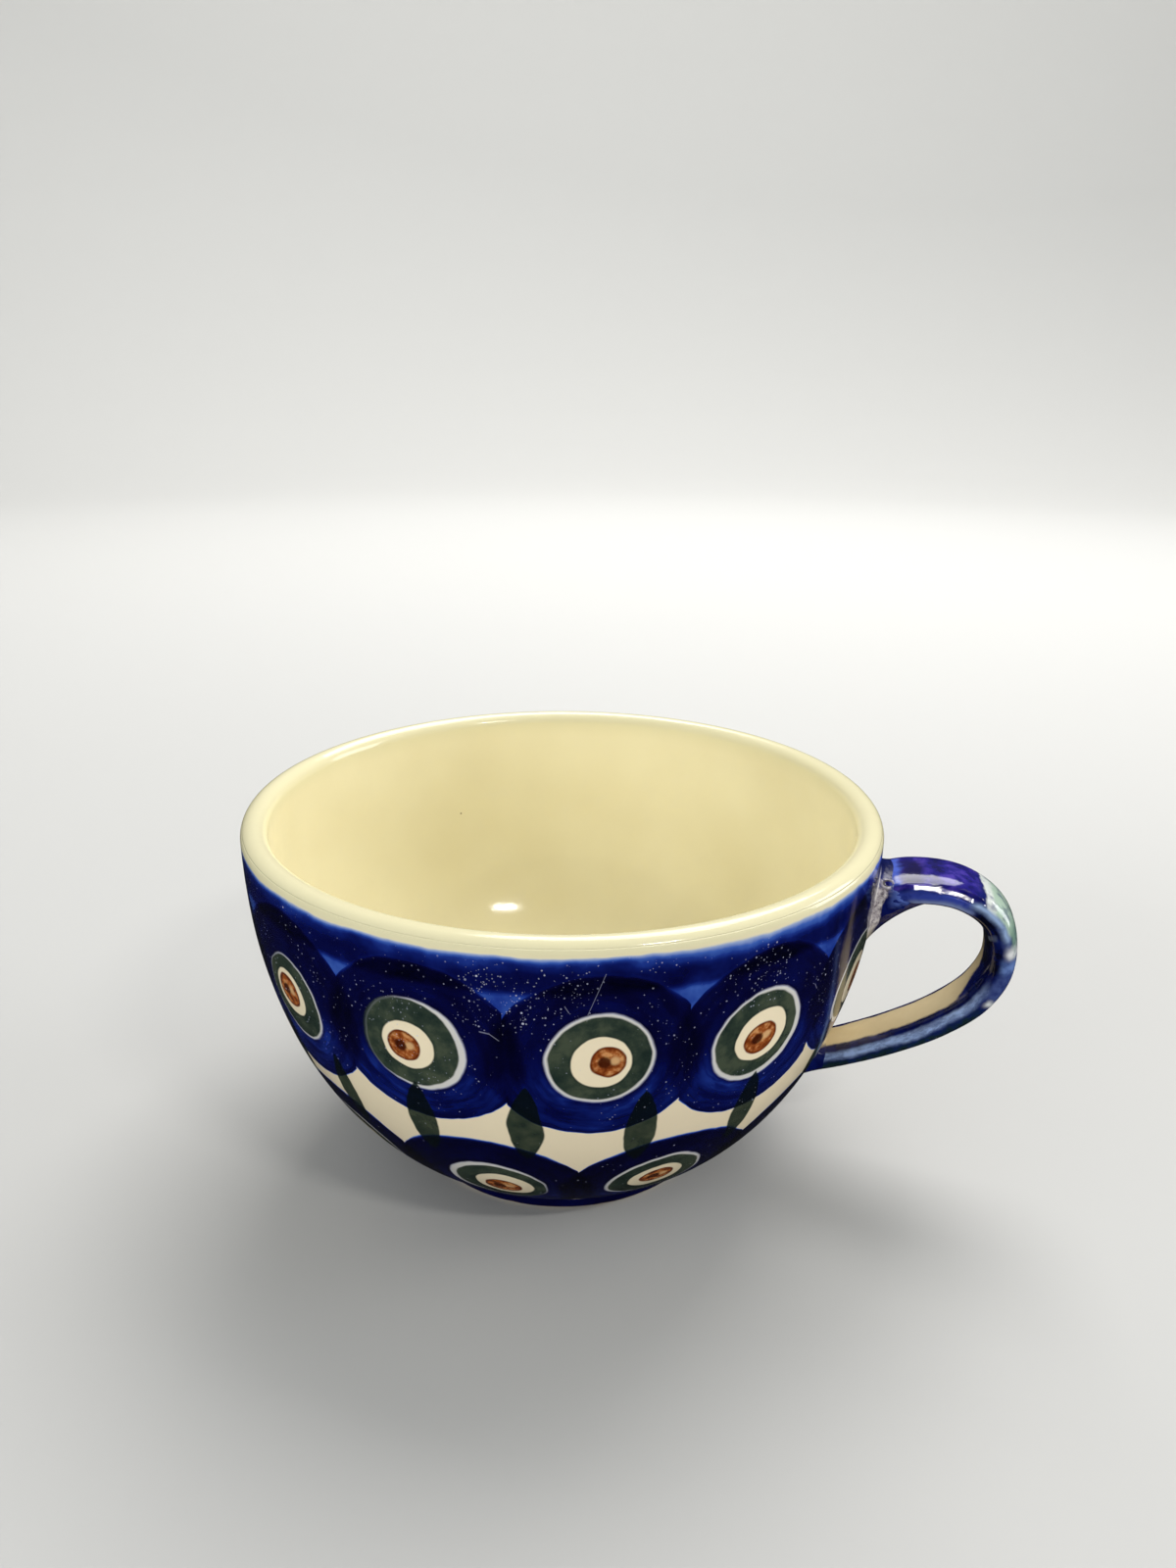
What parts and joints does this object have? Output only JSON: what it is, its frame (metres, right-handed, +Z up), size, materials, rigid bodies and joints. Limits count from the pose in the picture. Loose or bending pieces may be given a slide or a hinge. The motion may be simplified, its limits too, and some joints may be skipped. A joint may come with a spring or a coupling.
{
  "type": "stoneware cup",
  "caption": "Wide, low round drinking cup with a rounded lip, a small turned foot ring and a strap handle; cream glaze inside, cobalt peacock-eye glaze outside.",
  "frame": {"origin": "middle of the footprint, on the surface the cup stands on; the bowl's own axis is 11.4 mm from it along -X", "axes": "+X from the bowl towards the handle, +Z up through the mouth, Y across the handle"},
  "size_m": [0.1308, 0.108, 0.064],
  "materials": {
    "clay": "fired buff stoneware, matt",
    "bare_foot": "unglazed turned stoneware, slightly gritty",
    "handle_glaze": "glossy clear glaze over cobalt, cream and green brushwork",
    "slip_glaze": "glossy glaze pooled and wrinkled over slip",
    "cream_glaze": "smooth glossy cream glaze",
    "cobalt_glaze": "glossy clear glaze over stamped and brushed cobalt, green, brown and off-white"
  },
  "bodies": {
    "root": {"bowl": "clay", "foot_ring": "bare_foot", "handle": "handle_glaze", "upper_slip_joint": "slip_glaze", "lower_slip_joint": "slip_glaze", "lining_glaze": "cream_glaze", "outer_glaze": "cobalt_glaze"}
  },
  "joints": []
}
